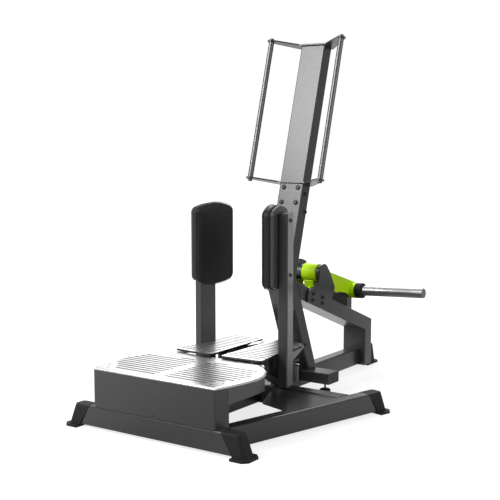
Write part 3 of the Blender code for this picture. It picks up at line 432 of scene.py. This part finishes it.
# the step's grip rows, as depth and how far each may reach from the middle
TREAD_ROWS = [(0.063, 0.270), (0.096, 0.290), (0.130, 0.320), (0.163, 0.350), (0.197, 0.360),
              (0.231, 0.370), (0.264, 0.370), (0.298, 0.360), (0.332, 0.345), (0.366, 0.335)]
ROW_START = 0.028
EDGE_MARGIN = 0.012
LAST_ROW = (0.060, 0.150, 0.400)
bars = []
for depth, far in TREAD_ROWS:
    reach = min(far, step_reach(depth) - EDGE_MARGIN)
    for side in (-1, 1):
        bars.append((side * ROW_START, depth, side * reach, depth))
near, far, depth = LAST_ROW
for side in (-1, 1):
    bars.append((side * near, depth, side * far, depth))
raised_bars("step_grip_marks", bars, TREAD_TOP, 0.0080, 0.0011, "frame")

# a foot plate's outline at rest, and its ribs
FOOT_PLATE = [(0.030, 0.490), (0.264, 0.505), (0.2605, 0.6915), (0.243, 0.830), (0.240, 0.920),
              (0.200, 0.978), (0.034, 0.976)]
RIB_COUNT = 13
RIB_START = 0.540
RIB_PITCH = 0.0336
RIB_MARGIN = 0.018


def crossing(outline, y):
    """Where a line of constant y cuts a convex outline."""
    cuts = []
    for index, (x0, y0) in enumerate(outline):
        x1, y1 = outline[(index + 1) % len(outline)]
        if (y0 - y) * (y1 - y) < 0:
            cuts.append(x0 + (x1 - x0) * (y - y0) / (y1 - y0))
    return min(cuts), max(cuts)


for side, label in SIDES:
    ribs = []
    for index in range(RIB_COUNT):
        place = RIB_START + RIB_PITCH * index
        near, far = crossing(FOOT_PLATE, place)
        ribs.append((side * (near + RIB_MARGIN), place, side * (far - RIB_MARGIN), place))
    raised_bars(label + "_foot_plate_ribs", ribs, FOOT_PLATE_TOP, 0.0075, 0.0012,
                label + "_lever")

# fasteners: (x, z) on the column's front, (y, z) on side faces, z on posts, (x, y) on plates
COLUMN_SLOPE = 0.2876
COLUMN_FRONT = (1.159, 1.037)
TUBE_SIDE = 0.075
BEARING_SIDE = 0.0855
COLUMN_BOLTS = ((-0.045, 1.118), (0.045, 1.118), (-0.045, 1.039), (0.045, 1.039))
COLUMN_SIDE_BOLTS = ((1.205, 1.083), (1.206, 0.985))
STRUT_SIDE_BOLT = (1.214, 0.257)
BEARING_BOLTS = ((1.286, 0.530), (1.384, 0.498), (1.279, 0.496), (1.382, 0.465))
POST_BOLTS = (0.982, 0.710)
TREAD_SCREWS = ((-0.305, 0.045), (0.305, 0.045), (-0.337, 0.090), (0.337, 0.090), (0.0, 0.050),
                (-0.187, 0.410), (0.187, 0.410), (-0.255, 0.430), (0.255, 0.430), (0.0, 0.480))
TREAD_SCREW_SUNK = 0.0006
PANEL_SCREW = (0.007, 0.127)
FOOT_PLATE_SCREWS = ((0.250, 0.560), (0.225, 0.900), (0.060, 0.955))
FOOT_PLATE_SCREW_SUNK = 0.0004
column_normal = Vector((0.0, -1.0, COLUMN_SLOPE)).normalized()


def column_face(x, z):
    """Point on the column's front face."""
    return row(x, COLUMN_FRONT[0] + COLUMN_SLOPE * (z - COLUMN_FRONT[1]), z)


def pad_inward(side):
    """Level direction in which a pad faces the leg."""
    return Vector((-side * math.cos(LEVER_TURN), -math.sin(LEVER_TURN), 0.0))


for index, (x, z) in enumerate(COLUMN_BOLTS, 1):
    bolt(f"column_front_bolt_{index}", column_face(x, z), column_normal, 0.0112, 0.008, "frame")
for side, label in SIDES:
    outward = (side, 0, 0)
    for index, (y, z) in enumerate(COLUMN_SIDE_BOLTS, 1):
        bolt(f"{label}_column_side_bolt_{index}", row(side * TUBE_SIDE, y, z), outward, 0.0098,
             0.007, "frame")
    bolt(label + "_strut_side_bolt", row(side * TUBE_SIDE, *STRUT_SIDE_BOLT), outward, 0.0085,
         0.006, "frame")
    for index, (y, z) in enumerate(BEARING_BOLTS, 1):
        bolt(f"{label}_bearing_bolt_{index}", row(side * BEARING_SIDE, y, z), outward, 0.0100,
             0.007, "frame")
    inward = pad_inward(side)
    post = row(side * POST_AT[0], POST_AT[1], 0.0)
    for index, z in enumerate(POST_BOLTS, 1):
        bolt(f"{label}_post_bolt_{index}", post - inward * (POST_SHORT / 2) + Vector((0, 0, z)),
             -inward, 0.0085, 0.006, label + "_lever")
for index, (x, y) in enumerate(TREAD_SCREWS, 1):
    bolt(f"tread_screw_{index}", row(x, y, TREAD_TOP - TREAD_SCREW_SUNK), (0, 0, 1), 0.0050,
         0.0012, "frame", washer=False)
bolt("front_panel_screw", row(PANEL_SCREW[0], 0.0, PANEL_SCREW[1]), (0, -1, 0), 0.0050, 0.0012,
     "frame", washer=False)
for side, label in SIDES:
    for index, (x, y) in enumerate(FOOT_PLATE_SCREWS, 1):
        bolt(f"{label}_foot_plate_screw_{index}",
             row(side * x, y, FOOT_PLATE_TOP - FOOT_PLATE_SCREW_SUNK), (0, 0, 1), 0.0045, 0.0012,
             label + "_lever", washer=False)

# pads
BOARD_GAP = 0.0006
PAD_CORE = 0.024
PAD_VOXEL = 0.0045
PAD_SHRINK = 0.0012
SWELL_PRESSURE = 4.0
SWELL_FRAMES = 20
SWELL_CAP = 0.0022
SEAM_OUT = 0.0330
SEAM_DEEP = 0.0016
SEAM_WIDE = 0.0022
SEAM_RIM = 0.8
PIPING_INSET = 0.0030
PIPING_CORNER = 0.0265
PIPING_RADIUS = 0.0014
CORNER_STEPS = 10
END_STEPS = 12
SIDE_STEPS = 16


def barrel_path(width, height, radius, spot, across):
    """Closed path round a pad's edge, with rounded corners and bowed ends."""
    points = []
    for corner in range(4):
        sign_a = 1 if corner in (0, 3) else -1
        sign_b = 1 if corner in (0, 1) else -1
        for step in range(CORNER_STEPS + 1):
            angle = math.pi / 2 * (corner + step / CORNER_STEPS)
            points.append((sign_a * (width / 2 - radius) + radius * math.cos(angle),
                           sign_b * (height / 2 - radius) + radius * math.sin(angle)))
        a, b = points[-1]
        if corner in (0, 2):
            points += [(a + (-a - a) * step / END_STEPS, b) for step in range(1, END_STEPS)]
        else:
            points += [(a, b + (-b - b) * step / SIDE_STEPS) for step in range(1, SIDE_STEPS)]
    bowed = [(a, b * (1 - PAD_BOW * (2 * a / PAD_WIDE) ** 2)) for a, b in points]
    return [spot + across * a + Vector((0, 0, b)) for a, b in bowed]


def inflate(obj, inward, back):
    """Swell the pad by cloth pressure, with its back held on the board's plane."""
    start = [vertex.co.copy() for vertex in obj.data.vertices]
    cloth = obj.modifiers.new("swell", "CLOTH")
    settings = cloth.settings
    settings.quality = 4
    settings.use_pressure = True
    settings.uniform_pressure_force = SWELL_PRESSURE
    settings.effector_weights.gravity = 0.0
    for index in range(1, SWELL_FRAMES + 1):
        scene.frame_set(index)
    shape = obj.evaluated_get(bpy.context.evaluated_depsgraph_get())
    ends = [vertex.co.copy() for vertex in shape.data.vertices]
    obj.modifiers.remove(cloth)
    scene.frame_set(1)
    for vertex, first, last in zip(obj.data.vertices, start, ends):
        move = last - first
        if move.length > SWELL_CAP:
            move = move.normalized() * SWELL_CAP
        spot = first + move
        behind = back - spot.dot(inward)
        if behind > 0:
            spot += inward * behind
        vertex.co = spot


def build_pad(side, label):
    """Swollen cushion with a seam line and piping, in place of the plain cushion solid."""
    across = Vector((side * math.sin(LEVER_TURN), -math.cos(LEVER_TURN), 0.0))
    inward = pad_inward(side)
    body = label + "_lever"
    source = nodes[label + "_pad_cushion"]
    cushion = bpy.data.objects.new(label + "_cushion", source.data.copy())
    scene.collection.objects.link(cushion)
    cushion.matrix_world = source.matrix_world.copy()
    post = row(side * POST_AT[0], POST_AT[1], 0.0)
    inner_face = post + inward * (POST_SHORT / 2) + Vector((0, 0, PAD_Z))
    remesh = cushion.modifiers.new("remesh", "REMESH")
    remesh.mode = "VOXEL"
    remesh.voxel_size = PAD_VOXEL
    shape = cushion.evaluated_get(bpy.context.evaluated_depsgraph_get())
    fine = bpy.data.meshes.new_from_object(shape)
    cushion.modifiers.clear()
    cushion.data = fine
    fine.name = label + "_cushion"
    centre = inner_face + inward * (BOARD_DEEP + PAD_CORE)
    for vertex in fine.vertices:
        away = vertex.co - centre
        away -= inward * away.dot(inward)
        vertex.co -= away.normalized() * min(PAD_SHRINK, away.length * 0.05)
    back = inner_face.dot(inward) + BOARD_DEEP + BOARD_GAP
    inflate(cushion, inward, back)
    seam_at = back + SEAM_OUT
    for vertex in fine.vertices:
        off = vertex.co.dot(inward) - seam_at
        away = vertex.co - centre
        away -= inward * away.dot(inward)
        dip = SEAM_DEEP * math.exp(-(off / SEAM_WIDE) ** 2)
        rim = max(abs(away.dot(across)) / (PAD_WIDE / 2), abs(away.z) / (PAD_HIGH / 2))
        if rim > SEAM_RIM:
            vertex.co -= away.normalized() * dip
    fine.materials.clear()
    fine.materials.append(VINYL)
    fine.shade_smooth()
    smooth = cushion.modifiers.new("subdivide", "SUBSURF")
    smooth.levels = 1
    smooth.render_levels = 1
    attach(cushion, body)
    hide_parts(label + "_pad_cushion")
    spot = inner_face + inward * (BOARD_DEEP + BOARD_GAP + SEAM_OUT)
    path = barrel_path(PAD_WIDE - PIPING_INSET, PAD_HIGH - PIPING_INSET, PIPING_CORNER, spot,
                       across)
    tube_along(label + "_pad_piping", path, PIPING_RADIUS, PIPING, body)


for side, label in SIDES:
    build_pad(side, label)

# stage and lights
AMBIENT = 0.42
FLOOR_GREY = 0.32
FLOOR_REACH = 20.0
FLOOR_DROP = 0.0005
FLOOR_GLOW = (0.79, 1.0)
GLOW_RISE = (1.0, 3.0)


def area(name, at, target, size, power):
    light = bpy.data.lights.new(name, "AREA")
    light.shape = "DISK"
    light.size = size
    light.energy = power
    obj = bpy.data.objects.new(name, light)
    obj.location = at
    obj.rotation_euler = (Vector(target) - Vector(at)).to_track_quat("-Z", "Y").to_euler()
    scene.collection.objects.link(obj)


def studio_ring(tree, vector):
    """Brightness of the studio around the machine, by heading, as reflections see it."""
    turn = tree.nodes.new("ShaderNodeTexGradient")
    turn.gradient_type = "RADIAL"
    tree.links.new(vector, turn.inputs["Vector"])
    levels = [(0.0, 0.50), (0.070, 0.35), (0.154, 1.00), (0.2375, 0.30), (0.350, 0.50),
              (0.500, 0.80), (0.569, 0.90), (0.653, 0.05), (0.736, 0.95), (0.846, 0.98),
              (1.0, 0.50)]
    return ramp(tree, turn.outputs["Fac"], [(place, (level,) * 3) for place, level in levels])


def build_world():
    """White to the camera, the studio's ring to reflections, plain grey light otherwise."""
    world = bpy.data.worlds.new("studio")
    world.use_nodes = True
    scene.world = world
    tree = world.node_tree
    ray = tree.nodes.new("ShaderNodeLightPath").outputs
    heading = tree.nodes.new("ShaderNodeTexCoord").outputs["Generated"]
    shown = combined(tree, "MAXIMUM", ray["Is Camera Ray"], ray["Is Transmission Ray"])
    glossy = combined(tree, "MULTIPLY", ray["Is Glossy Ray"], studio_ring(tree, heading))
    most = combined(tree, "MAXIMUM", shown, glossy)
    background = tree.nodes["Background"]
    background.inputs["Color"].default_value = (1.0, 1.0, 1.0, 1.0)
    tree.links.new(combined(tree, "MAXIMUM", most, AMBIENT), background.inputs["Strength"])


def build_floor():
    """Pale floor that keeps the shadow and grows white with distance from the machine."""
    material = bpy.data.materials.new("floor")
    material.use_nodes = True
    tree = material.node_tree
    tree.nodes.clear()
    out = tree.nodes.new("ShaderNodeOutputMaterial")
    diffuse = tree.nodes.new("ShaderNodeBsdfDiffuse")
    diffuse.inputs["Color"].default_value = (FLOOR_GREY, FLOOR_GREY, FLOOR_GREY, 1.0)
    glow = tree.nodes.new("ShaderNodeEmission")
    ray = tree.nodes.new("ShaderNodeLightPath").outputs
    place = tree.nodes.new("ShaderNodeTexCoord").outputs["Object"]
    away = tree.nodes.new("ShaderNodeVectorMath")
    away.operation = "LENGTH"
    tree.links.new(place, away.inputs[0])
    rise = span(tree, away.outputs["Value"], *FLOOR_GLOW, *GLOW_RISE)
    mirrored = combined(tree, "MULTIPLY", ray["Is Glossy Ray"], studio_ring(tree, place))
    seen = combined(tree, "MAXIMUM", ray["Is Camera Ray"], mirrored)
    tree.links.new(combined(tree, "MULTIPLY", seen, rise), glow.inputs["Strength"])
    both = tree.nodes.new("ShaderNodeAddShader")
    tree.links.new(diffuse.outputs["BSDF"], both.inputs[0])
    tree.links.new(glow.outputs["Emission"], both.inputs[1])
    tree.links.new(both.outputs["Shader"], out.inputs["Surface"])
    mesh = bpy.data.meshes.new("studio_floor")
    corners = ((-1, -1), (1, -1), (1, 1), (-1, 1))
    mesh.from_pydata([(x * FLOOR_REACH, y * FLOOR_REACH, -FLOOR_DROP) for x, y in corners], [],
                     [(0, 1, 2, 3)])
    floor = bpy.data.objects.new("studio_floor", mesh)
    mesh.materials.append(material)
    scene.collection.objects.link(floor)


build_world()
build_floor()
area("key", (-2.3, -4.2, 4.4), (0.0, -0.3, 0.7), 3.0, 335.0)
area("fill", (4.6, 0.5, 2.6), (0.0, 0.0, 0.7), 2.5, 32.0)
area("back", (-2.5, 4.0, 4.0), (0.0, 0.2, 0.9), 3.0, 110.0)

# camera, solved from the photograph
CAMERA_AT = (2.9866, -3.5452 + SHIFT_Y, 1.4136)
CAMERA_DOWN = 6.502
CAMERA_TURN = 34.554
CAMERA_LENS = 74.46
SENSOR_WIDE = 36.0
camera = bpy.data.cameras.new("photo_camera")
camera.sensor_width = SENSOR_WIDE
camera.lens = CAMERA_LENS
camera_object = bpy.data.objects.new("photo_camera", camera)
camera_object.location = CAMERA_AT
camera_object.rotation_euler = (math.radians(90 - CAMERA_DOWN), 0.0, math.radians(CAMERA_TURN))
scene.collection.objects.link(camera_object)
scene.camera = camera_object

scene.view_settings.view_transform = "Standard"
